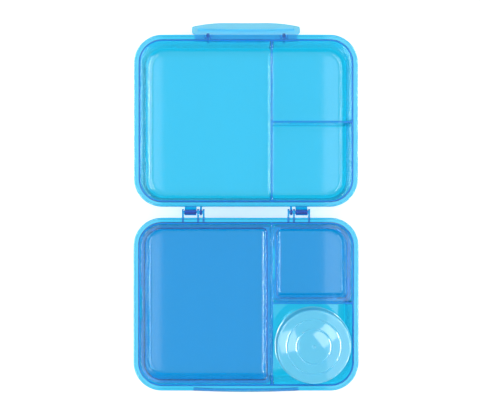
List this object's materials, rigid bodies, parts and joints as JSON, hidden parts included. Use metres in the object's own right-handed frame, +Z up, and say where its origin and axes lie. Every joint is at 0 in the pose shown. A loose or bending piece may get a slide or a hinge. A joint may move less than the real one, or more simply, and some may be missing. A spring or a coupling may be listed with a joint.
{
  "type": "lunch box",
  "caption": "Compartment lunch box with a hinged lid, a front clip, lift-out trays and a small pot with a push-on lid.",
  "frame": {"origin": "middle of the base's underside, on the surface it stands on", "axes": "+Z up, +Y from the base's front towards its hinges and the open lid, +X to the right"},
  "size_m": [0.212, 0.3533, 0.0541],
  "materials": {
    "box_plastic": "gloss, clear tinted",
    "tray_plastic": "gloss, clear tinted",
    "clip_plastic": "satin, milky",
    "pot_plastic": "gloss, clear tinted",
    "pot_lid_plastic": "satin, opaque"
  },
  "bodies": {
    "base": {"base_tub": "box_plastic"},
    "lid_body": {"lid": "box_plastic"},
    "clip": {"front_clip": "clip_plastic"},
    "tray_large": {"sandwich_tray": "tray_plastic"},
    "tray_small": {"side_tray": "tray_plastic"},
    "pot": {"pot_body": "pot_plastic"},
    "pot_cap": {"pot_lid": "pot_lid_plastic"}
  },
  "joints": [
    {"name": "lid_hinge", "type": "hinge", "parent": "base", "child": "lid_body", "pos_m": [0, 0.0866, 0.0361], "axis": [-1, 0, 0], "range_deg": [-180, 0]},
    {"name": "clip_pivot", "type": "hinge", "parent": "lid_body", "child": "clip", "pos_m": [0, 0.2541, 0.0288], "axis": [-1, 0, 0], "range_deg": [-125, 0]},
    {"name": "sandwich_tray_lift", "type": "slide", "parent": "base", "child": "tray_large", "axis": [0, 0, 1], "range_m": [0, 0.06]},
    {"name": "side_tray_lift", "type": "slide", "parent": "base", "child": "tray_small", "axis": [0, 0, 1], "range_m": [0, 0.06]},
    {"name": "pot_lift", "type": "slide", "parent": "base", "child": "pot", "axis": [0, 0, 1], "range_m": [0, 0.06]},
    {"name": "pot_lid_lift", "type": "slide", "parent": "pot", "child": "pot_cap", "axis": [0, 0, 1], "range_m": [0, 0.03]}
  ]
}
